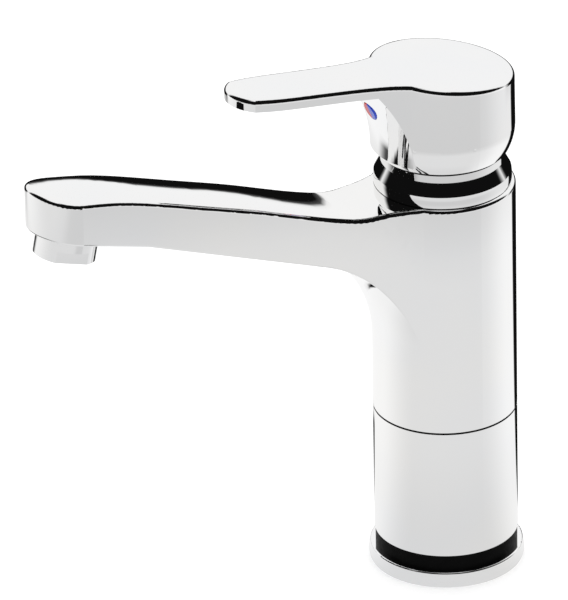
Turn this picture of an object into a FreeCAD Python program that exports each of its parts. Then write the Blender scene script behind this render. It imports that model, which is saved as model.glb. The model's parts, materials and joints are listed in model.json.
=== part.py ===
"""Single-lever mixer faucet with a swivelling spout, modelled as the assembly it comes apart into.

Frame: +Z up, origin at the centre of the foot where it stands on the deck, spout and lever towards -Y.
Everything is in millimetres. The spreadsheet "Sizes" holds the driving dimensions.
"""
import FreeCAD, Part
import math
import os
from FreeCAD import Rotation
from FreeCAD import Vector as V

doc = FreeCAD.newDocument("mixer_faucet")

# The names ending in _rise are heights over the swivelling body's rim, negative below it.
# The names ending in _more are added to the size of the part round about, negative inside it.
SIZES = {
    # fixed base
    "body_dia": 52.0,            # swivelling body and base sleeve
    "foot_step": 2.8,            # how far the foot stands out past the sleeve, at the deck
    "foot_taper": 1.15,          # how much less it stands out at its top
    "foot_height": 5.9,
    "foot_edge": 0.6,            # rounding of the foot's top edge
    "base_ring_height": 6.1,     # black ring between foot and sleeve
    "base_ring_step": 0.3,       # how far the black ring stands inside the sleeve's surface
    "split_height": 61.4,        # top of the fixed sleeve
    "sleeve_wall": 2.0,
    "collar_height": 3.4,        # the core's collar that holds the sleeve down
    "collar_width": 1.1,
    "slide_height": 0.7,         # bearing ring between sleeve and swivelling body
    "body_top": 151.0,           # top rim of the swivelling body
    # fits
    "still_gap": 0.05,           # between parts that do not move on each other
    "run_gap": 0.08,             # radial clearance of a running fit
    "end_gap": 0.05,             # clearance along the axis of a running fit
    # brass core
    "core_dia": 42.0,            # column that the spout body turns on
    "core_rise": 3.0,
    "inlet_offset_x": 8.5,
    "inlet_offset_y": 4.0,
    "inlet_thread_dia": 9.0,     # tap bore of the M10 x 1 hose inlets
    "inlet_thread_length": 14.0,
    "passage_dia": 6.0,
    "stud_offset_y": 11.0,
    "stud_thread_dia": 6.8,      # tap bore of the M8 fixing stud
    "stud_thread_length": 18.0,
    "mixed_offset_y": 9.0,
    "outlet_rise": -39.0,
    "outlet_dia": 8.0,
    "seat_rise": -25.0,          # floor of the cartridge well
    "seal_low_rise": -52.0,
    "seal_high_rise": -11.0,
    "seal_height": 3.0,
    "seal_depth": 2.2,
    "stop_height": 80.0,         # swing stop pin
    "stop_dia": 4.0,
    "stop_reach": 1.9,
    "swing_half_angle": 55.0,
    # inside of the swivelling body
    "chamber_more": 4.0,         # from the core's diameter
    "land_height": 11.0,
    "waterway_dia": 10.0,
    # spout, by distance from the body's axis
    "trumpet_rise": -61.0,       # where the body starts to flare into the spout
    "trumpet_radius": 50.0,      # hollow of the flare
    "spout_low_angle": 21.3,     # rise of the spout's underside
    "spout_length": 166.6,
    "spout_root_half": 13.6,
    "spout_waist_half": 13.2,
    "spout_tip_half": 13.6,
    "spout_crown": 2.2,          # rise of the top's middle over its edges
    "spout_edge": 1.5,           # rounding of the upper edges
    "spout_low_edge": 0.8,       # rounding of the lower edges
    # aerator
    "aerator_more": -13.0,       # from the spout's length to the outlet's middle
    "aerator_below": 8.0,        # from the spout's underside down to the outlet's middle
    "aerator_tilt": 12.0,        # outlet turned outwards, away from the body
    "aerator_dia": 22.4,
    "aerator_drop": 8.2,
    "aerator_thread_dia": 20.0,
    "aerator_thread_length": 6.0,
    "aerator_flats": 19.3,
    # cartridge
    "cartridge_more": -7.0,      # 35 mm cartridge, from the core's diameter
    "cartridge_wall": 1.5,
    "cartridge_base_height": 6.0,
    "disc_height": 2.6,
    "carrier_height": 3.2,
    "disc_more": -5.0,           # fixed disc, moving disc and rotor, from the cartridge's diameter
    "moving_disc_more": -13.0,
    "rotor_more": -8.0,
    "rotor_rise": 6.4,
    "pivot_rise": 1.5,
    "pivot_dia": 3.0,
    "ball_arm": 10.6,            # from the pivot down to the stem's ball
    "ball_dia": 6.0,
    "carrier_half": 8.6,
    "stem_size": 7.0,
    "stem_rise": 34.0,
    # dome ring
    "dome_dia": 49.4,
    "dome_neck_more": -5.2,
    # handle
    "handle_dia": 52.0,
    "handle_rim_more": 1.2,      # inside of the skirt's rim, which rides round the dome
    "handle_rim_rise": 13.0,
    "handle_wide_rise": 23.0,
    "handle_top_more": -1.6,
    "handle_rise": 45.0,         # flat top, over the body's axis
    "handle_slope": 7.7,         # rise of the flat top towards the lever's tip, in degrees
    "handle_wall": 2.6,
    "lever_length": 86.6,
    "lever_half": 11.4,
    "lever_tip_half": 9.5,
    "lever_thick": 4.6,
    "lever_hollow_radius": 50.0, # hollow between the skirt's front and the lever
    "lever_hollow_turn": 36.5,   # how far the hollow turns before it meets the lever's underside
    "handle_edge": 1.8,
    "plug_rise": 34.4,
    "plug_dia": 7.0,
    "plug_out": 0.4,             # how far the plug stands out of the handle
}

sheet = doc.addObject("Spreadsheet::Sheet", "Sizes")
for row, (alias, value) in enumerate(SIZES.items(), start=1):
    sheet.set("A%d" % row, alias)
    sheet.set("B%d" % row, str(value))
    sheet.setAlias("B%d" % row, alias)
doc.recompute()


# Sizes that follow another one, and the cell that each is counted by
COUNTED = {
    "core_top": ("body_top", "core_rise"),
    "seat_height": ("body_top", "seat_rise"),
    "outlet_height": ("body_top", "outlet_rise"),
    "seal_low_height": ("body_top", "seal_low_rise"),
    "seal_high_height": ("body_top", "seal_high_rise"),
    "rotor_top": ("body_top", "rotor_rise"),
    "pivot_height": ("body_top", "pivot_rise"),
    "stem_top": ("body_top", "stem_rise"),
    "handle_rim_height": ("body_top", "handle_rim_rise"),
    "handle_wide_height": ("body_top", "handle_wide_rise"),
    "handle_top": ("body_top", "handle_rise"),
    "plug_height": ("body_top", "plug_rise"),
    "trumpet_height": ("body_top", "trumpet_rise"),
    "chamber_dia": ("core_dia", "chamber_more"),
    "cartridge_dia": ("core_dia", "cartridge_more"),
    "disc_dia": ("cartridge_dia", "disc_more"),
    "moving_disc_dia": ("cartridge_dia", "moving_disc_more"),
    "rotor_dia": ("cartridge_dia", "rotor_more"),
    "dome_neck_dia": ("dome_dia", "dome_neck_more"),
    "handle_rim_dia": ("dome_dia", "handle_rim_more"),
    "handle_top_dia": ("handle_dia", "handle_top_more"),
    "aerator_reach": ("spout_length", "aerator_more"),
}


def size(name):
    """Value of a cell of the sheet, or of a size that is counted from another."""
    if name in COUNTED:
        base, added = COUNTED[name]
        return size(base) + size(added)
    return float(sheet.get(name))


def bind(obj, **values):
    """Bind properties of an object to expressions over the sheet."""
    for prop, expression in values.items():
        obj.setExpression(prop.replace("__", "."), named(expression))
    return obj


def named(expression):
    """Put the sheet's name before each cell of an expression, and write counted sizes out."""
    words = []
    for word in str(expression).split():
        if word in COUNTED:
            word = "( %s )" % named("%s + %s" % COUNTED[word])
        elif word in SIZES:
            word = "Sizes." + word
        words.append(word)
    return " ".join(words)


def rod(name, dia, low, high, x="0", y="0"):
    """Upright cylinder between two heights."""
    obj = doc.addObject("Part::Cylinder", name)
    bind(obj, Radius="( %s ) / 2" % dia, Height="( %s ) - ( %s )" % (high, low))
    bind(obj, Placement__Base__x=x, Placement__Base__y=y, Placement__Base__z=low)
    return obj


def block(name, wide, deep, low, high, x="0", y="0"):
    """Upright block centred on x and y between two heights."""
    obj = doc.addObject("Part::Box", name)
    bind(obj, Length=wide, Width=deep, Height="( %s ) - ( %s )" % (high, low))
    bind(obj, Placement__Base__x="( %s ) - ( %s ) / 2" % (x, wide))
    bind(obj, Placement__Base__y="( %s ) - ( %s ) / 2" % (y, deep))
    bind(obj, Placement__Base__z=low)
    return obj


def lying(name, dia, along, start, end, height, across="0"):
    """Cylinder lying along X or Y between two places, at a height."""
    obj = doc.addObject("Part::Cylinder", name)
    bind(obj, Radius="( %s ) / 2" % dia, Height="( %s ) - ( %s )" % (end, start))
    turn = Rotation(V(0, 1, 0), 90) if along == "x" else Rotation(V(1, 0, 0), -90)
    obj.Placement = FreeCAD.Placement(V(0, 0, 0), turn)
    ends = {"x": start, "y": across} if along == "x" else {"x": across, "y": start}
    bind(obj, Placement__Base__x=ends["x"], Placement__Base__y=ends["y"], Placement__Base__z=height)
    return obj


def fused(name, *items):
    obj = doc.addObject("Part::MultiFuse", name)
    obj.Shapes = list(items)
    return obj


def cut(name, base, *tools):
    obj = doc.addObject("Part::Cut", name)
    obj.Base = base
    obj.Tool = tools[0] if len(tools) == 1 else fused(name + "_tools", *tools)
    return obj


def ring(name, outer, inner, low, high):
    """Ring with square edges."""
    return cut(name, rod(name + "_outer", outer, low, high), rod(name + "_hole", inner, low, high))


def common(name, first, second):
    obj = doc.addObject("Part::Common", name)
    obj.Base = first
    obj.Tool = second
    return obj


def free_shape(name, shape):
    """Object for a shape made with Part's own functions."""
    obj = doc.addObject("Part::Feature", name)
    obj.Shape = shape
    return obj


NODES = []


def node(obj, label):
    """Give a finished sub-part its label, which is its node's and its file's name."""
    obj.Label = label
    NODES.append(obj)
    return obj


# ---------------------------------------------------------------------------------------------
# Fixed base: foot, black ring, sleeve and the brass core inside them
# ---------------------------------------------------------------------------------------------
CORE_LOW_DIA = "body_dia - 2 * sleeve_wall - 2 * still_gap"
SLEEVE_BORE = "body_dia - 2 * sleeve_wall"
RING_TOP = "( foot_height + base_ring_height )"
COLLAR_DIA = "( body_dia - 2 * sleeve_wall + 2 * collar_width )"
BASE_TOP = "seat_height + cartridge_base_height"
FIXED_TOP = BASE_TOP + " + disc_height"
MOVING_TOP = FIXED_TOP + " + disc_height"
CARRIER_TOP = MOVING_TOP + " + carrier_height"
SHOULDER = "seat_height + 21"            # the housing's step that the nut holds down
ROTOR_LOW = "seat_height + 19.4"
NECK_DIA = "cartridge_dia - 5.4"
NUT_DIA = "cartridge_dia + 1.2"


def make_foot():
    blank = doc.addObject("Part::Cone", "foot_blank")
    bind(blank, Radius1="body_dia / 2 + foot_step", Radius2="body_dia / 2 + foot_step - foot_taper",
         Height="foot_height")
    rounded = doc.addObject("Part::Fillet", "foot_rounded")
    rounded.Base = blank
    doc.recompute()
    top = [number for number, edge in enumerate(blank.Shape.Edges, start=1)
           if edge.BoundBox.ZMin > size("foot_height") - 0.01]
    rounded.Edges = [(number, size("foot_edge"), size("foot_edge")) for number in top]
    node(cut("foot", rounded, rod("foot_bore", SLEEVE_BORE, "0", "foot_height")), "foot_flange")


def make_base_rings():
    node(ring("base_ring_shape", "body_dia - 2 * base_ring_step", SLEEVE_BORE, "foot_height", RING_TOP),
         "base_ring")
    tube = rod("sleeve_outer", "body_dia", RING_TOP, "split_height")
    bore = rod("sleeve_bore", SLEEVE_BORE, RING_TOP, "split_height")
    seat = rod("sleeve_seat", COLLAR_DIA + " + 2 * still_gap", "split_height - collar_height - still_gap",
               "split_height")
    node(cut("sleeve", tube, bore, seat), "base_sleeve")
    node(ring("slide_ring_shape", "body_dia - 1.2", "core_dia + 2 * still_gap", "split_height",
              "split_height + slide_height"), "slide_ring")


def seal_groove(name, height):
    return ring(name, "core_dia + 2", "core_dia - 2 * seal_depth", height, height + " + seal_height")


def make_core():
    """Brass column: inlets and stud from below, mixing well on top, outlet to the side."""
    column = fused("core_column",
                   rod("core_low", CORE_LOW_DIA, "0", "split_height - collar_height"),
                   rod("core_collar", COLLAR_DIA, "split_height - collar_height", "split_height"),
                   rod("core_high", "core_dia", "split_height", "core_top"))
    cuts = [rod("core_well", "cartridge_dia + 2 * still_gap", "seat_height", "core_top"),
            rod("core_nut_thread", NUT_DIA + " + 2 * still_gap", SHOULDER, "core_top"),
            rod("core_stud", "stud_thread_dia", "0", "stud_thread_length", y="stud_offset_y"),
            seal_groove("groove_low", "seal_low_height"),
            seal_groove("groove_high", "seal_high_height"),
            ring("outlet_channel", "core_dia + 2", "core_dia - 5", "outlet_height - outlet_dia",
                 "outlet_height + outlet_dia"),
            rod("mixed_well", "outlet_dia", "outlet_height - outlet_dia / 2", "seat_height",
                y="mixed_offset_y"),
            lying("outlet", "outlet_dia", "y", "mixed_offset_y", "core_dia / 2", "outlet_height"),
            lying("stop_seat", "stop_dia", "y", "core_dia / 2 - 6", "core_dia / 2 + 1", "stop_height")]
    for side, sign in (("hot", "-1"), ("cold", "1")):
        x = "%s * inlet_offset_x" % sign
        cuts.append(rod(side + "_inlet", "inlet_thread_dia", "0", "inlet_thread_length", x,
                        "-1 * inlet_offset_y"))
        cuts.append(rod(side + "_passage", "passage_dia", "inlet_thread_length", "seat_height", x,
                        "-1 * inlet_offset_y"))
    node(cut("core", column, *cuts), "valve_core")
    node(lying("stop", "stop_dia - 2 * still_gap", "y", "core_dia / 2 - 6 + still_gap",
               "core_dia / 2 + stop_reach", "stop_height"), "swing_stop_pin")
    for place in ("low", "high"):
        low = "seal_%s_height + still_gap" % place
        high = "seal_%s_height + seal_height - still_gap" % place
        seal = ring("seal_%s" % place, "core_dia + run_gap", "core_dia - 2 * seal_depth", low, high)
        node(seal, "spout_seal_" + place)


# ---------------------------------------------------------------------------------------------
# Swivelling body with its spout
# ---------------------------------------------------------------------------------------------
DOME_WALL = 1.6
STRAIGHT_MORE = -38.6            # where the spout's underside starts to droop, from the spout's length
DROOP = 0.74                     # share of the underside's rise that is left past that
DOME_MOUTH = 15.6                # opening in the dome's top that the stem swings in
ROOT_SHARE = 0.7                 # where an arm's sides leave the round body, as a share of its radius
FLARE_LENGTH = 9.5               # how fast the flare at an arm's root dies away
FLAT_TURN = 75                   # where the aerator happens to stop when it is screwed in, in degrees
RIB_WIDE = 3.0                   # stop ribs inside the swivelling body
TOP_LINE = ((30, 0.0), (36, 0.0), (42, 0.5), (50, 2.6), (60, 5.9), (80, 13.0), (100, 19.9),
            (120, 26.8), (140, 32.8), (160, 36.7), (185, 40.2))    # reach, height of the top over the rim


def sky():
    """Height well over everything, for shapes that are cut down to size."""
    return size("handle_top") + size("lever_length")


def spline(points):
    curve = Part.BSplineCurve()
    curve.interpolate(points)
    return curve.toShape()


def plan_outline(start, end, tip, half_at, steps):
    """Closed plan outline of an arm, from the body's axis to a round tip."""
    reaches = [start + (end - start) * (i / steps) ** 1.6 for i in range(steps + 1)]
    right = [V(half_at(reach), -reach, 0) for reach in reaches]
    left = [V(-point.x, point.y, 0) for point in reversed(right)]
    tip_arc = Part.Arc(right[-1], V(0, -tip, 0), left[0]).toShape()
    back_left = V(left[-1].x, 0, 0)
    back_right = V(right[0].x, 0, 0)
    return Part.Wire([spline(right), tip_arc, spline(left), Part.makeLine(left[-1], back_left),
                      Part.makeLine(back_left, back_right), Part.makeLine(back_right, right[0])])


def spout_half(reach):
    """Half width of the spout in plan: flared at the body, waisted, a little wider at the tip."""
    root, waist, tip = size("spout_root_half"), size("spout_waist_half"), size("spout_tip_half")
    start = size("body_dia") / 2 * ROOT_SHARE
    flare = (start - root) * math.exp((start - reach) / FLARE_LENGTH)
    taper = (waist - root) * min(1.0, max(0.0, (reach - 40) / 85))
    swell = (tip - waist) * math.exp(-((reach - size("aerator_reach")) / 16) ** 2)
    return root + flare + taper + swell


def flared_space(body_radius, low, hollow, turn_angle, angle, straight, reach, droop):
    """Space above an arm's underside: turned about the axis, hollow at the body, then rising."""
    top = sky()
    turn = math.radians(turn_angle)
    rise = math.tan(math.radians(angle))

    def on_arc(share):
        return V(body_radius + hollow * (1 - math.cos(turn * share)), 0,
                 low + hollow * math.sin(turn * share))

    bend = on_arc(1.0)
    ramp = V(straight, 0, bend.z + (straight - bend.x) * rise)
    tip = V(reach, 0, ramp.z + (reach - straight) * rise * droop)
    edges = [Part.makeLine(V(0, 0, low), on_arc(0.0)), Part.Arc(on_arc(0.0), on_arc(0.5), bend).toShape(),
             Part.makeLine(bend, ramp), Part.makeLine(ramp, tip), Part.makeLine(tip, V(reach, 0, top)),
             Part.makeLine(V(reach, 0, top), V(0, 0, top)), Part.makeLine(V(0, 0, top), V(0, 0, low))]
    return Part.Face(Part.Wire(edges)).revolve(V(0, 0, 0), V(0, 0, 1), 360)


def top_height(reach):
    """Height of the spout's top edge."""
    for (start, low), (end, high) in zip(TOP_LINE, TOP_LINE[1:]):
        if start <= reach <= end:
            return size("body_top") + low + (high - low) * (reach - start) / (end - start)
    return size("body_top")


def under_height(reach):
    """Height of the spout's underside."""
    turn = math.radians(90 - size("spout_low_angle"))
    hollow = size("trumpet_radius")
    bend_reach = size("body_dia") / 2 + hollow * (1 - math.cos(turn))
    bend_height = size("trumpet_height") + hollow * math.sin(turn)
    straight = size("spout_length") + STRAIGHT_MORE
    way = min(reach, straight) - bend_reach + DROOP * max(0.0, reach - straight)
    return bend_height + way * math.tan(math.radians(size("spout_low_angle")))


def outlet_height():
    """Height of the middle of the aerator's outlet."""
    return under_height(size("aerator_reach")) - size("aerator_below")


def top_section(reach, rise):
    """Upright section of the space under the spout's crowned top, at one reach."""
    half = size("body_dia")
    crown = size("spout_crown") * min(1.0, max(0.0, (reach - 36) / 40))
    middle = size("body_top") + rise + crown
    side = middle - crown * (half / size("spout_root_half")) ** 2
    right = V(half, -reach, side)
    left = V(-half, -reach, side)
    low_right = V(half, -reach, 0)
    low_left = V(-half, -reach, 0)
    if crown > 0:
        top = Part.Arc(left, V(0, -reach, middle), right).toShape()
    else:
        top = Part.makeLine(left, right)
    return Part.Wire([top, Part.makeLine(right, low_right), Part.makeLine(low_right, low_left),
                      Part.makeLine(low_left, left)])


def below_top():
    """Space under the spout's top: level beside the body, then rising and drooping to the tip."""
    first = TOP_LINE[0][0]
    loft = Part.makeLoft([top_section(reach, rise) for reach, rise in TOP_LINE], True, False)
    half = size("body_dia")
    level = Part.makeBox(2 * half, first, size("body_top"), V(-half, -first, 0))
    return loft.fuse(level)


def aerator_frame():
    """Placement at the aerator's outlet, +Z into the spout."""
    tilt = Rotation(V(1, 0, 0), -size("aerator_tilt"))
    return FreeCAD.Placement(V(0, -size("aerator_reach"), outlet_height()), tilt)


def pipe(radius, points):
    """Round passage through a row of points."""
    shape = Part.makeSphere(radius, points[0])
    for start, end in zip(points, points[1:]):
        way = end - start
        shape = shape.fuse(Part.makeCylinder(radius, way.Length, start, way))
        shape = shape.fuse(Part.makeSphere(radius, end))
    return shape


def spout_arm():
    """The spout with its long edges rounded, reaching back to the body's axis."""
    tip = size("spout_length")
    start = size("body_dia") / 2 * ROOT_SHARE
    plan = plan_outline(start, tip - size("spout_tip_half"), tip, spout_half, 9)
    angle = size("spout_low_angle")
    space = flared_space(size("body_dia") / 2, size("trumpet_height"), size("trumpet_radius"), 90 - angle,
                         angle, tip + STRAIGHT_MORE, tip + 20, DROOP)
    sides = Part.Face(plan).extrude(V(0, 0, sky()))
    arm = sides.common(space).common(below_top()).removeSplitter()
    above = [edge for edge in arm.Edges if along_arm(edge) and on_arm_top(edge)]
    below = [edge for edge in arm.Edges if along_arm(edge) and not on_arm_top(edge)]
    low_marks = [(edge.Length, edge.BoundBox.ZMin) for edge in below]
    arm = arm.makeFillet(size("spout_edge"), above)
    below = [edge for edge in arm.Edges
             if any(abs(edge.Length - length) < 0.001 and abs(edge.BoundBox.ZMin - height) < 0.001
                    for length, height in low_marks)]
    return arm.makeFillet(size("spout_low_edge"), below)


def along_arm(edge):
    """True for an edge that runs along the spout's outline, above or below."""
    box = edge.BoundBox
    beside_body = box.YMin > -size("body_dia") / 2 * ROOT_SHARE - 1
    trumpet_start = box.ZMax < size("trumpet_height") + 0.1
    across = box.YLength < 2
    upright = box.ZLength > 0.9 * edge.Length
    return not (beside_body or trumpet_start or across or upright)


def on_arm_top(edge):
    """True for an edge of the spout's top: the top rises from the rim, and ends above the tip's side."""
    box = edge.BoundBox
    from_rim = abs(box.ZMin - size("body_top")) < 0.1
    return from_rim or box.ZMin > outlet_height() + size("spout_tip_half") + 2


def spout_outside():
    """Turned body with a rounded rim, and the spout, in one."""
    low = size("split_height") + size("slide_height") + size("end_gap")
    column = Part.makeCylinder(size("body_dia") / 2, size("body_top") - low, V(0, 0, low))
    rim = [edge for edge in column.Edges if edge.BoundBox.ZMin > size("body_top") - 0.1]
    column = column.makeFillet(size("spout_edge"), rim)
    return column.fuse(spout_arm()).removeSplitter()


def make_spout_body():
    low = size("split_height") + size("slide_height") + size("end_gap")
    bore = size("core_dia") / 2 + size("run_gap")
    chamber = size("chamber_dia") / 2
    relief_low = low + size("land_height")
    relief_high = size("seal_low_height") - 4
    water_low = size("seal_low_height") + size("seal_height") + 4
    water_high = size("seal_high_height") - 4
    hollow = [Part.makeCylinder(bore, size("body_top") - low + 2, V(0, 0, low - 1)),
              Part.makeCylinder(chamber, relief_high - relief_low, V(0, 0, relief_low)),
              Part.makeCylinder(chamber, water_high - water_low, V(0, 0, water_low))]
    way = size("waterway_dia") / 2
    outlet = aerator_frame()
    route = [V(0, -chamber + 1, water_high - way - 0.5)]
    for share in (0.42, 0.78):
        reach = size("aerator_reach") * share
        route.append(V(0, -reach, (top_height(reach) + under_height(reach)) / 2))
    route.append(outlet.multVec(V(0, 0, size("aerator_drop") + size("aerator_thread_length") + way - 1)))
    hollow.append(pipe(way, route))
    socket_top = size("aerator_drop") + size("aerator_thread_length") + 0.6
    socket = Part.makeCylinder(size("aerator_thread_dia") / 2 + size("still_gap"), socket_top)
    socket.Placement = outlet
    recess = Part.makeCylinder(size("aerator_dia") / 2 + 0.15, size("aerator_drop") + 30, V(0, 0, -30))
    recess.Placement = outlet
    hollow += [socket, recess]
    shape = spout_outside()
    for tool in hollow:
        shape = shape.cut(tool)
    for side in (-1, 1):
        rib = Part.makeBox(RIB_WIDE, chamber - bore + 1, size("stop_dia") + 2,
                           V(-RIB_WIDE / 2, bore + 0.3, size("stop_height") - size("stop_dia") / 2 - 1))
        rib.rotate(V(0, 0, 0), V(0, 0, 1), side * (size("swing_half_angle") + rib_margin()))
        shape = shape.fuse(rib)
    node(free_shape("spout_body_shape", shape), "spout_body")


def rib_margin():
    """Angle between the stop pin's middle and a rib's middle when they meet."""
    reach = size("core_dia") / 2 + size("stop_reach") / 2
    return math.degrees(math.asin((size("stop_dia") / 2 + RIB_WIDE / 2) / reach)) + 1.0


def placed(shape, placement):
    shape.Placement = placement
    return shape


def make_aerator():
    """Housing with spanner flats, insert, screen and seal, all in the tilted outlet's frame."""
    outlet = aerator_frame()
    drop, thread = size("aerator_drop"), size("aerator_thread_length")
    outer, bore = size("aerator_dia") / 2, size("aerator_thread_dia") / 2 - 1.6
    housing = Part.makeCylinder(outer, drop).fuse(
        Part.makeCylinder(size("aerator_thread_dia") / 2, thread - 1.2, V(0, 0, drop)))
    housing = housing.cut(Part.makeCylinder(bore, drop + thread + 2, V(0, 0, -1)))
    for side in (-1, 1):
        flat = Part.makeBox(size("aerator_dia"), outer, drop * 0.52,
                            V(-outer, side * size("aerator_flats") / 2 - (outer if side < 0 else 0), 0))
        flat.rotate(V(0, 0, 0), V(0, 0, 1), FLAT_TURN)
        housing = housing.cut(flat)
    node(free_shape("aerator_housing_shape", placed(housing, outlet)), "aerator_housing")
    gap = size("still_gap")
    insert = Part.makeCylinder(bore - gap, drop + thread - 3.2, V(0, 0, 1.8))
    for turn in range(8):
        slot = Part.makeCylinder(1.5, 20, V(bore * 0.62, 0, -2))
        slot.rotate(V(0, 0, 0), V(0, 0, 1), 45 * turn)
        insert = insert.cut(slot)
    insert = insert.cut(Part.makeCylinder(2.4, 20, V(0, 0, -2)))
    node(free_shape("aerator_insert_shape", placed(insert, outlet)), "aerator_insert")
    screen = Part.makeCylinder(bore - gap, 0.8, V(0, 0, 0.8))
    node(free_shape("aerator_screen_shape", placed(screen, outlet)), "aerator_screen")
    seal = Part.makeCylinder(size("aerator_thread_dia") / 2 - 0.2, 1.6, V(0, 0, drop + thread - 1.1))
    seal = seal.cut(Part.makeCylinder(bore - 1, 4, V(0, 0, drop + thread - 2)))
    node(free_shape("aerator_seal_shape", placed(seal, outlet)), "aerator_seal")


# ---------------------------------------------------------------------------------------------
# Cartridge
# ---------------------------------------------------------------------------------------------
def make_cartridge():
    base = rod("cartridge_base_disc", "cartridge_dia", "seat_height", BASE_TOP)
    ports = [rod("base_port_mixed", "passage_dia", "seat_height", BASE_TOP, y="mixed_offset_y")]
    seals = []
    spots = {"hot": ("-1 * inlet_offset_x", "-1 * inlet_offset_y"),
             "cold": ("inlet_offset_x", "-1 * inlet_offset_y"), "mixed": ("0", "mixed_offset_y")}
    for side in ("hot", "cold"):
        ports.append(rod("base_port_" + side, "passage_dia", "seat_height", BASE_TOP, *spots[side]))
    for side, (x, y) in spots.items():
        groove = rod("seal_seat_" + side, "passage_dia + 4.4", "seat_height", "seat_height + 1.6", x, y)
        ports.append(groove)
        seals.append(cut("port_seal_shape_" + side,
                         rod("port_seal_outer_" + side, "passage_dia + 4.2", "seat_height",
                             "seat_height + 1.55", x, y),
                         rod("port_seal_hole_" + side, "passage_dia + 0.6", "seat_height",
                             "seat_height + 1.55", x, y)))
    node(cut("cartridge_base_shape", base, *ports), "cartridge_base")
    for side, seal in zip(spots, seals):
        node(seal, "port_seal_" + side)
    disc = rod("fixed_disc_blank", "disc_dia", BASE_TOP, FIXED_TOP)
    holes = [rod("fixed_port_" + side, "passage_dia", BASE_TOP, FIXED_TOP, *spots[side]) for side in spots]
    node(cut("fixed_disc_shape", disc, *holes), "fixed_ceramic_disc")
    tube = fused("housing_solid",
                 rod("housing_low", "cartridge_dia", BASE_TOP, SHOULDER),
                 rod("housing_neck", NECK_DIA, SHOULDER, "rotor_top - 1.5"))
    room = rod("housing_room", "cartridge_dia - 2 * cartridge_wall", BASE_TOP, ROTOR_LOW + " - 0.6")
    neck = rod("housing_bore", "rotor_dia + 2 * run_gap", ROTOR_LOW + " - 1.6", "rotor_top")
    node(cut("housing_shape", tube, room, neck), "cartridge_housing")


def make_nut():
    nut = rod("nut_solid", NUT_DIA, SHOULDER, "core_top + 1.6")
    slots = [block("nut_slot_x", "cartridge_dia + 8", "3", "core_top", "core_top + 2"),
             block("nut_slot_y", "3", "cartridge_dia + 8", "core_top", "core_top + 2")]
    node(cut("nut_shape", nut, rod("nut_bore", NECK_DIA + " + 2 * still_gap", SHOULDER, "core_top + 2"),
             *slots), "cartridge_nut")


def make_rotor():
    """Turning part of the cartridge: it carries the lever's pin and guides the disc carrier."""
    rotor = rod("rotor_solid", "rotor_dia", ROTOR_LOW, "rotor_top")
    wide = "stem_size + 0.3"
    slots = [block("rotor_slot_low", wide, "20", ROTOR_LOW, "pivot_height", y="-2"),
             block("rotor_slot_high", wide, "14", "pivot_height", "rotor_top", y="1.6"),
             lying("rotor_pin_hole", "pivot_dia + 2 * still_gap", "x", "-1 * rotor_dia / 2",
                   "rotor_dia / 2", "pivot_height")]
    prongs = [block("rotor_prong_%s" % name, "2.4", "6", FIXED_TOP + " + disc_height + 0.3", ROTOR_LOW,
                    x="%s * ( carrier_half + 1.5 )" % sign)
              for name, sign in (("left", "-1"), ("right", "1"))]
    node(cut("rotor_shape", fused("rotor_and_prongs", rotor, *prongs), *slots), "cartridge_rotor")
    node(lying("pin_shape", "pivot_dia", "x", "-1 * rotor_dia / 2 + 0.3", "rotor_dia / 2 - 0.3",
               "pivot_height"), "lever_pin")


def make_moving_disc():
    disc = common("moving_disc_cut", rod("moving_disc_blank", "moving_disc_dia", FIXED_TOP, MOVING_TOP),
                  block("moving_disc_width", "2 * carrier_half", "moving_disc_dia", FIXED_TOP, MOVING_TOP))
    window = rod("moving_window", "passage_dia", FIXED_TOP, FIXED_TOP + " + 1.4", y="mixed_offset_y / 2")
    node(cut("moving_disc_shape", disc, window), "moving_ceramic_disc")
    plate = common("carrier_cut", rod("carrier_blank", "moving_disc_dia", MOVING_TOP, CARRIER_TOP),
                   block("carrier_width", "2 * carrier_half", "moving_disc_dia", MOVING_TOP, CARRIER_TOP))
    boss = rod("carrier_boss", "11", CARRIER_TOP, CARRIER_TOP + " + 2.8")
    socket = rod("carrier_socket", "ball_dia + 0.9", MOVING_TOP + " + 0.6", CARRIER_TOP + " + 2.8")
    node(cut("carrier_shape", fused("carrier_solid", plate, boss), socket), "disc_carrier")


def make_stem():
    """Lever stem: a ball in the disc carrier, a pin hole, and a square shank in the handle."""
    ball = doc.addObject("Part::Sphere", "stem_ball")
    bind(ball, Radius="ball_dia / 2", Placement__Base__z="pivot_height - ball_arm")
    neck = rod("stem_neck", "4.6", "pivot_height - ball_arm", "pivot_height - 5")
    shank = block("stem_shank", "stem_size", "stem_size", "pivot_height - 5.5", "stem_top")
    hole = lying("stem_hole", "pivot_dia + 2 * run_gap", "x", "-1 * stem_size", "stem_size", "pivot_height")
    node(cut("stem_shape", fused("stem_solid", ball, neck, shank), hole), "cartridge_stem")


# ---------------------------------------------------------------------------------------------
# Dome ring and handle
# ---------------------------------------------------------------------------------------------
def turned(points_and_arcs):
    """Ring turned about the body's axis from a closed profile of lines (2 points) and arcs (3)."""
    edges = []
    for piece in points_and_arcs:
        spots = [V(r, 0, z) for r, z in piece]
        edges.append(Part.makeLine(*spots) if len(spots) == 2 else Part.Arc(*spots).toShape())
    return Part.Face(Part.Wire(edges)).revolve(V(0, 0, 0), V(0, 0, 1), 360)


def on_ball(radius, height):
    """Radius from the axis of a ball about the lever's pivot, at a height."""
    return math.sqrt(radius ** 2 - (height - size("pivot_height")) ** 2)


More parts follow.
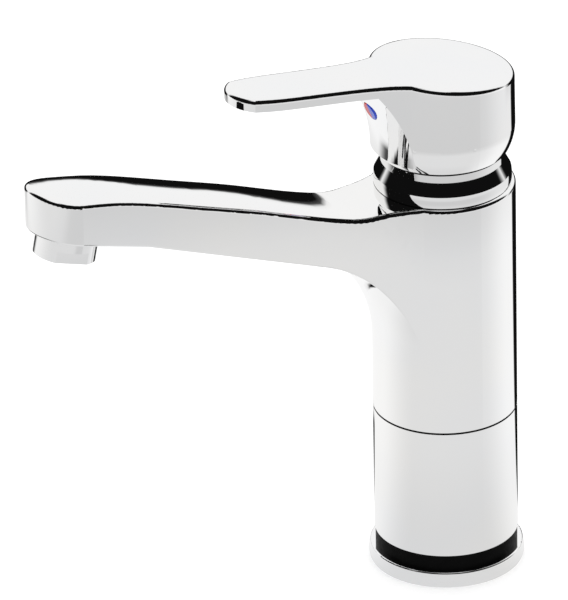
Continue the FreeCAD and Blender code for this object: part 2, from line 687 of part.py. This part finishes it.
def make_dome():
    """Ring screwed over the core: it holds the swivelling body down and closes under the handle."""
    pivot = size("pivot_height")
    ball = size("dome_dia") / 2
    low = size("body_top") + 0.2
    belt = low + 4.2                                   # where the ball ends and the shoulder begins
    shoulder = belt + 4.6                              # where the shoulder meets the neck
    neck = size("dome_neck_dia") / 2
    inner = ball - 0.35
    neck_top = pivot + math.sqrt(inner ** 2 - neck ** 2)
    mouth = DOME_MOUTH
    mouth_top = pivot + math.sqrt(inner ** 2 - mouth ** 2)
    hollow = inner - DOME_WALL
    mouth_low = pivot + math.sqrt(hollow ** 2 - mouth ** 2)
    seat = size("core_dia") / 2 + size("still_gap")
    seat_top = size("core_top")
    seat_out = on_ball(hollow, seat_top)
    middle = (neck + mouth) / 2
    low_middle = (mouth + seat_out) / 2
    outline = [((seat, low), (on_ball(ball, low), low)),
               ((on_ball(ball, low), low), (on_ball(ball, pivot + 1), pivot + 1),
                (on_ball(ball, belt), belt)),
               ((on_ball(ball, belt), belt), (neck, shoulder)),
               ((neck, shoulder), (neck, neck_top)),
               ((neck, neck_top), (middle, pivot + math.sqrt(inner ** 2 - middle ** 2)), (mouth, mouth_top)),
               ((mouth, mouth_top), (mouth, mouth_low)),
               ((mouth, mouth_low), (low_middle, pivot + math.sqrt(hollow ** 2 - low_middle ** 2)),
                (seat_out, seat_top)),
               ((seat_out, seat_top), (seat, seat_top)),
               ((seat, seat_top), (seat, low))]
    node(free_shape("dome_shape", turned(outline)), "dome_ring")


LEVER_ROOT = 35                  # where the lever's sides leave the skirt, in degrees from its middle
LEVER_FLARE = 9.0                # how fast the flare at the lever's root dies away
SKIRT_SINK = 0.3                 # how far the lever's hollow starts inside the skirt's surface
RIM_WIDE = 0.9                   # flat of the skirt's rim
PLUG_DEPTH = 4.8                 # from the plug's face down to its floor


def lever_half_at(reach):
    """Half width of the lever in plan."""
    start = size("handle_dia") / 2 * math.sin(math.radians(LEVER_ROOT))
    first = size("handle_dia") / 2 * math.cos(math.radians(LEVER_ROOT))
    flare = (start - size("lever_half")) * math.exp((first - reach) / LEVER_FLARE)
    end = size("lever_length")
    narrow = (size("lever_half") - size("lever_tip_half")) * math.exp((reach - end + 4) / 5.0)
    return size("lever_half") + flare - narrow


def below_handle_top(low):
    """Space above a height and below the handle's flat sloping top."""
    slope = Rotation(V(1, 0, 0), -size("handle_slope"))
    reach = 4 * size("lever_length")
    box = Part.makeBox(reach, reach, reach, V(-reach / 2, -reach / 2, -reach))
    box.Placement = FreeCAD.Placement(V(0, 0, size("handle_top")), slope)
    above = Part.makeBox(reach, reach, reach, V(-reach / 2, -reach / 2, low))
    return box.common(above)


def hollow_start():
    """Radius and height where the hollow under the lever leaves the skirt."""
    slope = math.tan(math.radians(size("handle_slope")))
    turn = math.radians(size("lever_hollow_turn"))
    radius = size("handle_dia") / 2 - SKIRT_SINK
    end = radius + size("lever_hollow_radius") * (1 - math.cos(turn))
    under = size("handle_top") - size("lever_thick") + end * slope
    return radius, under - size("lever_hollow_radius") * math.sin(turn)


def hollow_at(height):
    """Radius of the hollow under the lever at a height, and its tilt there in degrees."""
    radius, low = hollow_start()
    turn = math.asin((height - low) / size("lever_hollow_radius"))
    return radius + size("lever_hollow_radius") * (1 - math.cos(turn)), math.degrees(turn)


def handle_outside():
    rim = size("handle_rim_height")
    wide = size("handle_wide_height")
    outer = size("handle_dia") / 2
    top = size("handle_top_dia") / 2
    ball = size("handle_rim_dia") / 2
    edge = on_ball(ball, rim) + RIM_WIDE
    # the skirt bends in towards its rim along an arc that starts upright
    bend = ((outer - edge) ** 2 + (wide - rim) ** 2) / (2 * (outer - edge))
    half = math.asin((wide - rim) / bend) / 2
    skirt = turned([((0, rim), (edge, rim)),
                    ((edge, rim), (outer - bend * (1 - math.cos(half)), wide - bend * math.sin(half)),
                     (outer, wide)),
                    ((outer, wide), (top, sky())),
                    ((top, sky()), (0, sky())),
                    ((0, sky()), (0, rim))])
    tip = size("lever_length")
    start = outer * math.cos(math.radians(LEVER_ROOT))
    plan = plan_outline(start, tip - 5, tip, lever_half_at, 8)
    # the lever's underside stays parallel to its top
    radius, low = hollow_start()
    space = flared_space(radius, low, size("lever_hollow_radius"), size("lever_hollow_turn"),
                         size("handle_slope"), tip - 5, tip + 20, 1.0)
    arm = Part.Face(plan).extrude(V(0, 0, sky())).common(space)
    return skirt.fuse(arm).common(below_handle_top(rim - 1)).removeSplitter()


def make_handle():
    """Hollow lever handle: ball-shaped room over the dome, pocket round the stem's boss."""
    pivot = V(0, 0, size("pivot_height"))
    ball = size("handle_rim_dia") / 2
    whole = handle_outside()
    edges = [edge for edge in whole.Edges if on_top(edge)]
    whole = whole.makeFillet(size("handle_edge"), edges)
    boss = Part.makeCylinder(size("stem_size") + 1.5, 60, V(0, 0, size("pivot_height") + ball - 1.4))
    pocket_top = size("handle_top") - size("handle_wall") - 2
    pocket = Part.makeCylinder(size("handle_dia") / 2 - size("handle_wall"),
                               pocket_top - pivot.z - 10, V(0, 0, pivot.z + 10)).cut(boss)
    shank = size("stem_size") / 2 + size("still_gap")
    square = Part.makeBox(2 * shank, 2 * shank, size("stem_top") - pivot.z + 1, V(-shank, -shank, pivot.z))
    plug_low = size("plug_height")
    screw = Part.makeCylinder(2.1, 60, V(0, 0, plug_low), V(0, -1, 0))
    plug_seat = Part.makeCylinder(size("plug_dia") / 2 + size("still_gap"), 30,
                                  V(0, -plug_floor(), plug_low), V(0, -1, 0))
    for tool in (Part.makeSphere(ball, pivot), pocket, square, screw, plug_seat):
        whole = whole.cut(tool)
    node(free_shape("handle_shape", whole), "handle")
    make_handle_trim()


def on_top(edge):
    """True for an edge that lies in the handle's sloping top plane."""
    slope = math.tan(math.radians(size("handle_slope")))
    for share in (0.0, 0.37, 0.81):
        first, last = edge.ParameterRange
        point = edge.valueAt(first + (last - first) * share)
        if abs(point.z - (size("handle_top") - point.y * slope)) > 0.01:
            return False
    return True


def plug_floor():
    """Depth of the plug's seat, from the axis."""
    return hollow_at(size("plug_height"))[0] - PLUG_DEPTH


def make_handle_trim():
    """Grub screw on the stem, red and blue halves of the index plug in front of it."""
    height = size("plug_height")
    gap = size("still_gap")
    start = size("stem_size") / 2 + gap
    screw = Part.makeCylinder(2.05, plug_floor() - start - 2.5, V(0, -start, height), V(0, -1, 0))
    key = Part.makeCylinder(1.2, 3.0, V(0, -plug_floor() + 5.2, height), V(0, -1, 0))
    node(free_shape("grub_screw_shape", screw.cut(key)), "handle_screw")
    radius, tilt = hollow_at(height)
    body = Part.makeCylinder(size("plug_dia") / 2, 2 * PLUG_DEPTH, V(0, -plug_floor(), height), V(0, -1, 0))
    # the plug's face follows the hollow's slope
    behind = Part.makeBox(60, 60, 60, V(-30, 0, -30))
    face = V(0, -radius - size("plug_out"), height)
    behind.Placement = FreeCAD.Placement(face, Rotation(V(1, 0, 0), tilt))
    body = body.common(behind)
    body = body.makeFillet(0.5, [edge for edge in body.Edges
                                 if edge.BoundBox.YLength > 0.5 and edge.BoundBox.XLength > 1])
    half = size("plug_dia")
    for name, low in (("index_plug_hot", -half), ("index_plug_cold", 0.02)):
        side = Part.makeBox(half - 0.02, 60, 60, V(low, -60, height - 30))
        node(free_shape(name + "_shape", body.common(side)), name)


# ---------------------------------------------------------------------------------------------
# Build, check, write
# ---------------------------------------------------------------------------------------------
make_foot()
make_base_rings()
make_core()
make_spout_body()
make_aerator()
make_cartridge()
make_nut()
make_rotor()
make_moving_disc()
make_stem()
make_dome()
make_handle()
doc.recompute()

for obj in doc.Objects:
    if "Invalid" in obj.State or "Error" in obj.State:
        raise RuntimeError("%s failed: %s" % (obj.Name, obj.State))

os.makedirs("parts", exist_ok=True)
for obj in NODES:
    if obj.Shape.isNull() or not obj.Shape.isValid() or len(obj.Shape.Solids) != 1:
        raise RuntimeError("%s is not one valid solid" % obj.Label)
for obj in NODES:
    obj.Shape.exportStep("parts/%s.step" % obj.Label)
print("%d sub-parts written" % len(NODES))
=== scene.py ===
"""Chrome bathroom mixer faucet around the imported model: materials, studio and camera."""
import json
import math

import bpy
from mathutils import Matrix, Vector

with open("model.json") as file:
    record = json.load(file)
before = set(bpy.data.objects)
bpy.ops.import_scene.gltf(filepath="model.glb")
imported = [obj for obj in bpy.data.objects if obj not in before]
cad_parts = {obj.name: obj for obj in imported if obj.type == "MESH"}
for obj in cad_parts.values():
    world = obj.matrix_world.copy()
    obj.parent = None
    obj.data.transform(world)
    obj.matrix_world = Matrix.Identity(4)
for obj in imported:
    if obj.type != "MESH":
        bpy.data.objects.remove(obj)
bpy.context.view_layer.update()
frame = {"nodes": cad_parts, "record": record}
nodes = frame["nodes"]


# ---------------------------------------------------------------------------------------------
# Materials
# ---------------------------------------------------------------------------------------------
class Look:
    """Short way to build a node material around one Principled shader."""

    def __init__(self, name, **sockets):
        self.material = bpy.data.materials.new(name)
        self.material.use_nodes = True
        self.tree = self.material.node_tree
        self.shader = self.tree.nodes["Principled BSDF"]
        for socket, value in sockets.items():
            self.shader.inputs[socket.replace("_", " ")].default_value = value
        self.place = self.add("ShaderNodeTexCoord").outputs["Object"]

    def add(self, kind, links=None, **settings):
        """Add a node; each setting is a property of it or, failing that, one of its sockets."""
        node = self.tree.nodes.new(kind)
        for name, value in settings.items():
            if hasattr(node, name):
                setattr(node, name, value)
            else:
                node.inputs[name.replace("_", " ")].default_value = value
        for name, source in (links or {}).items():
            self.tree.links.new(source, node.inputs[name])
        return node

    def noise(self, scale, detail, stretch=(1, 1, 1)):
        place = self.add("ShaderNodeMapping", {"Vector": self.place}, Scale=stretch).outputs[0]
        node = self.add("ShaderNodeTexNoise", {"Vector": place}, Scale=scale, Detail=detail)
        return node.outputs["Fac"]

    def remap(self, source, low, high, start=0.3, end=0.7):
        """Carry the span from start to end over to the one from low to high."""
        node = self.add("ShaderNodeMapRange", {"Value": source})
        limits = {"From Min": start, "From Max": end, "To Min": low, "To Max": high}
        for socket, value in limits.items():
            node.inputs[socket].default_value = value
        return node.outputs["Result"]

    def colours(self, source, first, last):
        """Ramp between two colours, each given with its position."""
        ramp = self.add("ShaderNodeValToRGB", {"Fac": source})
        for element, (position, colour) in zip(ramp.color_ramp.elements, (first, last)):
            element.position = position
            element.color = (*colour, 1.0)
        return ramp.outputs["Color"]

    def to(self, source, socket):
        self.tree.links.new(source, self.shader.inputs[socket])

    def bump(self, source, strength, distance):
        node = self.add("ShaderNodeBump", {"Height": source}, Strength=strength, Distance=distance)
        self.to(node.outputs["Normal"], "Normal")


def chrome(name, tone=0.93, haze=0.02):
    """Polished chrome plate: faint haze, wiped-dry streaks and a barely wavy surface."""
    look = Look(name, Metallic=1.0)
    cloud = look.noise(18.0, 4.0)
    wipe = look.noise(60.0, 3.0, (1.0, 1.0, 0.12))
    both = look.add("ShaderNodeMath", {0: cloud, 1: wipe}, operation="MULTIPLY").outputs[0]
    look.to(look.remap(both, haze, haze + 0.025, 0.12, 0.4), "Roughness")
    warm = (tone, tone * 0.995, tone * 0.985)
    cool = (tone * 0.975, tone * 0.98, tone * 0.99)
    look.to(look.colours(cloud, (0.35, warm), (0.65, cool)), "Base Color")
    look.bump(look.noise(9.0, 2.0), 0.04, 0.0004)
    return look.material


def rubber(name):
    """Black moulded rubber with a fine grain and a slight change of shade."""
    look = Look(name, Metallic=0.0, Specular_IOR_Level=0.02)
    grain = look.noise(900.0, 4.0)
    cloud = look.noise(45.0, 3.0)
    dark, light = (0.0015, 0.0015, 0.0015), (0.004, 0.004, 0.004)
    look.to(look.colours(cloud, (0.35, dark), (0.75, light)), "Base Color")
    look.to(look.remap(grain, 0.34, 0.5), "Roughness")
    look.bump(grain, 0.12, 0.0002)
    return look.material


def plastic(name, light, dark, rough=0.35):
    """Injection-moulded plastic: slight shade variation and moulding grain."""
    look = Look(name, Metallic=0.0)
    cloud = look.noise(60.0, 3.0)
    grain = look.noise(500.0, 3.0)
    look.to(look.colours(cloud, (0.3, dark), (0.7, light)), "Base Color")
    look.to(look.remap(grain, rough - 0.05, rough + 0.08), "Roughness")
    look.bump(grain, 0.08, 0.0002)
    return look.material


def brass(name):
    """Turned brass: rings of tool marks and slight tarnish."""
    look = Look(name, Metallic=1.0)
    rings = look.noise(40.0, 2.0, (0.2, 0.2, 30.0))
    tarnish = look.noise(70.0, 5.0)
    dark, light = (0.62, 0.42, 0.17), (0.82, 0.63, 0.30)
    look.to(look.colours(tarnish, (0.3, dark), (0.7, light)), "Base Color")
    look.to(look.remap(rings, 0.2, 0.38), "Roughness")
    look.bump(rings, 0.15, 0.0002)
    return look.material


def steel(name, light=(0.62, 0.62, 0.63), dark=(0.42, 0.42, 0.43)):
    """Ground steel with fine scratches."""
    look = Look(name, Metallic=1.0)
    lines = look.noise(120.0, 3.0, (1.0, 12.0, 1.0))
    look.to(look.colours(lines, (0.3, dark), (0.7, light)), "Base Color")
    look.to(look.remap(lines, 0.2, 0.4), "Roughness")
    look.bump(lines, 0.1, 0.0001)
    return look.material


def ceramic(name):
    """Lapped alumina ceramic, cream-white and nearly flawless."""
    look = Look(name, Metallic=0.0)
    cloud = look.noise(120.0, 4.0)
    dark, light = (0.86, 0.84, 0.78), (0.93, 0.92, 0.88)
    look.to(look.colours(cloud, (0.3, dark), (0.7, light)), "Base Color")
    look.to(look.remap(cloud, 0.08, 0.16), "Roughness")
    return look.material


# One material for each slot of the record. The bearing ring is as black as the seals, whatever
# its slot is called.
MATERIALS = {
    "chrome_foot": chrome("chrome_foot", 0.94, 0.04),
    "chrome_sleeve": chrome("chrome_sleeve"),
    "chrome_spout": chrome("chrome_spout"),
    "chrome_aerator": chrome("chrome_aerator", 0.9, 0.05),
    "chrome_dome": chrome("chrome_dome", 0.9),
    "chrome_handle": chrome("chrome_handle"),
    "black_seal": rubber("black_seal"),
    "black_rubber": rubber("black_rubber"),
    "white_bearing": rubber("white_bearing"),
    "brass_core": brass("brass_core"),
    "brass_nut": brass("brass_nut"),
    "brass_stem": brass("brass_stem"),
    "steel_pin": steel("steel_pin"),
    "steel_screw": steel("steel_screw", (0.2, 0.2, 0.21), (0.1, 0.1, 0.11)),
    "steel_mesh": steel("steel_mesh"),
    "aerator_plastic": plastic("aerator_plastic", (0.7, 0.71, 0.72), (0.6, 0.61, 0.63)),
    "cartridge_plastic": plastic("cartridge_plastic", (0.84, 0.84, 0.81), (0.76, 0.76, 0.73)),
    "cartridge_grey": plastic("cartridge_grey", (0.3, 0.31, 0.33), (0.22, 0.23, 0.25)),
    "ceramic": ceramic("ceramic"),
    "red_index": plastic("red_index", (0.70, 0.02, 0.02), (0.55, 0.01, 0.01), 0.18),
    "blue_index": plastic("blue_index", (0.02, 0.07, 0.62), (0.01, 0.04, 0.45), 0.18),
}


def dress(obj, slot):
    obj.data.materials.clear()
    obj.data.materials.append(MATERIALS[slot])


for entry in frame["record"]["subparts"]:
    dress(nodes[entry["node"]], entry["material_slot"])


# ---------------------------------------------------------------------------------------------
# Camera numbers and the directions that the studio is laid out by
# ---------------------------------------------------------------------------------------------
CAMERA_AZIMUTH = math.radians(60.0)
CAMERA_ELEVATION = math.radians(27.3)
CAMERA_DISTANCE = 3.053
CAMERA_ROLL = math.radians(-1.181)
CAMERA_LENS = 512.6              # in millimetres, like the sensor
CAMERA_SENSOR = 36.0
CAMERA_REACH = 100.0
AIM_HEIGHT = 0.110
AIM_LEFT = 0.0572                # the aim point lies this far left of the body's axis
AIM_BELOW = 0.0056

ground_right = Vector((math.cos(CAMERA_AZIMUTH), math.sin(CAMERA_AZIMUTH), 0))
ground_front = Vector((math.sin(CAMERA_AZIMUTH), -math.cos(CAMERA_AZIMUTH), 0))
UP = Vector((0, 0, 1))


def level(turn):
    """Level direction by its turn in radians: 0 is towards the camera, a quarter turn its right."""
    return ground_right * math.sin(turn) + ground_front * math.cos(turn)


# ---------------------------------------------------------------------------------------------
# The room and the table, which are there for the chrome to reflect
#
# Each dark stretch has a span of turns in degrees (0 towards the camera, 90 to its right) and a
# span of heights in degrees for the room or of distances in metres for the table. A span is its
# two ends and the width over which both of them fade. An end that lies past all the turns, heights
# or distances there are never shows.
# ---------------------------------------------------------------------------------------------
ROOM_LIGHT = 0.965
ROOM_DEPTH = 0.96                                    # what a dark stretch takes away
ROOM_FRONT = ((-20, 112, 14), (-20, 74, 6))          # on both sides of the camera
ROOM_BACK = ((118, 200, 14), (-20, 5, 3))            # low behind the faucet, on both sides
ROOM_LEFT = ((-100, -70, 16), (-20, 88, 9))          # tall and narrow
ROOM_RADIUS = 8.0
ROOM_HEIGHTS = [2 * i for i in range(46)]            # from the horizon to straight up
ROOM_COLUMNS = 180

TABLE_LIGHT = 0.99
TABLE_DEPTH = 0.995                                  # the share a dark stretch takes away
TABLE_RIGHT_BACK = ((135, 200, 3), (0.043, 0.50, 0.006))
TABLE_LEFT_BACK = ((-200, -144, 3), (0.034, 0.118, 0.004))
TABLE_FAR_BACK = ((118, 200, 14), (0.44, 99, 0.05))  # on both sides
TABLE_LEFT = ((-112, -55, 26), (0.262, 0.37, 0.03))
TABLE_LEFT_STRENGTH = 0.93
TABLE_FRONT_GREY = (0.2, (-80, 80, 70))              # what it takes away, and its span of turns
TABLE_RING_GREY = (0.12, (0.30, 0.46, 0.08))         # what it takes away, and its distances
TABLE_NEAR_GREY = (0.05, (0.0, 0.10, 0.08))          # the same, close to the foot
TABLE_HEIGHT = 0.0004                                # just over the floor
TABLE_REACHES = [0.03 * 1.09 ** i for i in range(66)]
TABLE_COLUMNS = 240


def window(value, start, end, soft):
    """1 within a span and 0 outside it, with soft ends."""
    into = min(1.0, max(0.0, (value - start) / soft + 0.5))
    out = min(1.0, max(0.0, (end - value) / soft + 0.5))
    share = min(into, out)
    return share * share * (3 - 2 * share)


def within(stretch, turn, along):
    """How much of a dark stretch there is at a place, from 0 to 1."""
    turns, alongs = stretch
    return window(turn, *turns) * window(along, *alongs)


def grey(patch, value):
    """What a grey patch takes away at a turn or a distance."""
    most, span = patch
    return most * window(value, *span)


def room_shade(turn, height):
    """Brightness of the room, by angles in degrees."""
    darkest = max(within(ROOM_FRONT, abs(turn), height), within(ROOM_BACK, abs(turn), height),
                  within(ROOM_LEFT, turn, height))
    return ROOM_LIGHT - ROOM_DEPTH * darkest


def table_shade(turn, reach):
    """Brightness of the table, by angle in degrees and distance in metres."""
    left = TABLE_LEFT_STRENGTH * within(TABLE_LEFT, turn, reach)
    darkest = max(within(TABLE_RIGHT_BACK, turn, reach), within(TABLE_LEFT_BACK, turn, reach),
                  within(TABLE_FAR_BACK, abs(turn), reach), left)
    front = grey(TABLE_FRONT_GREY, abs(turn))
    ring = grey(TABLE_RING_GREY, reach)
    near = grey(TABLE_NEAR_GREY, reach)
    return (TABLE_LIGHT - front - ring - near) * (1 - TABLE_DEPTH * darkest)


def on_room(turn, height):
    turn, height = math.radians(turn), math.radians(height)
    return (level(turn) * math.cos(height) + UP * math.sin(height)) * ROOM_RADIUS


def on_table(turn, reach):
    return level(math.radians(turn)) * reach + UP * TABLE_HEIGHT


def reflector(name, rows, columns, place, shade):
    """Grid of soft light and dark round the faucet, seen in reflections only."""
    mesh = bpy.data.meshes.new(name)
    turns = [-180 + 360 * i / columns for i in range(columns + 1)]
    spots = [(turn, row) for row in rows for turn in turns]
    wide = columns + 1
    faces = [(r * wide + c, r * wide + c + 1, (r + 1) * wide + c + 1, (r + 1) * wide + c)
             for r in range(len(rows) - 1) for c in range(columns)]
    mesh.from_pydata([place(*spot) for spot in spots], [], faces)
    layer = mesh.color_attributes.new("shade", "FLOAT_COLOR", "POINT")
    for item, spot in zip(layer.data, spots):
        value = shade(*spot)
        item.color = (value, value, value, 1.0)
    look = Look(name, Roughness=1.0, Base_Color=(0, 0, 0, 1), Specular_IOR_Level=0.0,
                Emission_Strength=1.0)
    stored = look.add("ShaderNodeAttribute", attribute_name="shade").outputs["Color"]
    look.to(stored, "Emission Color")
    mesh.materials.append(look.material)
    obj = bpy.data.objects.new(name, mesh)
    bpy.context.scene.collection.objects.link(obj)
    obj.visible_camera = False
    obj.visible_diffuse = False
    obj.visible_shadow = False


# ---------------------------------------------------------------------------------------------
# Floor, light and camera
# ---------------------------------------------------------------------------------------------
FLOOR_HALF = 60.0
FLOOR_COLOUR = (0.9, 0.9, 0.9)
FLOOR_MOTTLE = 0.99              # how dark the darkest mottling is beside the floor's colour
FLOOR_GLOW = 0.35                # thins the shadows on the floor


def floor_material():
    """Plain pale surface with a slight mottling."""
    look = Look("floor_white", Roughness=0.9, Emission_Strength=FLOOR_GLOW)
    dark = tuple(c * FLOOR_MOTTLE for c in FLOOR_COLOUR)
    look.to(look.colours(look.noise(3.0, 2.0), (0.3, dark), (0.7, FLOOR_COLOUR)), "Base Color")
    look.shader.inputs["Emission Color"].default_value = (1, 1, 1, 1)
    return look.material


def make_floor():
    mesh = bpy.data.meshes.new("floor")
    floor = bpy.data.objects.new("floor", mesh)
    half = FLOOR_HALF
    corners = [(-half, -half, 0), (half, -half, 0), (half, half, 0), (-half, half, 0)]
    mesh.from_pydata(corners, [], [(0, 1, 2, 3)])
    mesh.materials.append(floor_material())
    bpy.context.scene.collection.objects.link(floor)


def make_light():
    """Even white light from all round, and what the chrome reflects in its place."""
    world = bpy.data.worlds.new("studio")
    bpy.context.scene.world = world
    world.use_nodes = True
    background = world.node_tree.nodes["Background"]
    background.inputs["Color"].default_value = (1, 1, 1, 1)
    background.inputs["Strength"].default_value = 1.0
    reflector("room", ROOM_HEIGHTS, ROOM_COLUMNS, on_room, room_shade)
    reflector("table", TABLE_REACHES, TABLE_COLUMNS, on_table, table_shade)


def make_camera():
    back = ground_front * math.cos(CAMERA_ELEVATION) + UP * math.sin(CAMERA_ELEVATION)
    level_up = back.cross(ground_right)
    aim = UP * AIM_HEIGHT - ground_right * AIM_LEFT - level_up * AIM_BELOW
    cosine, sine = math.cos(CAMERA_ROLL), math.sin(CAMERA_ROLL)
    right = ground_right * cosine + level_up * sine
    up = level_up * cosine - ground_right * sine
    data = bpy.data.cameras.new("camera")
    data.lens = CAMERA_LENS
    data.sensor_width = CAMERA_SENSOR
    data.clip_end = CAMERA_REACH
    camera = bpy.data.objects.new("camera", data)
    bpy.context.scene.collection.objects.link(camera)
    place = Matrix((right, up, back)).transposed().to_4x4()
    place.translation = aim + back * CAMERA_DISTANCE
    camera.matrix_world = place
    bpy.context.scene.camera = camera


make_floor()
make_light()
make_camera()
bpy.context.scene.view_settings.view_transform = "Standard"
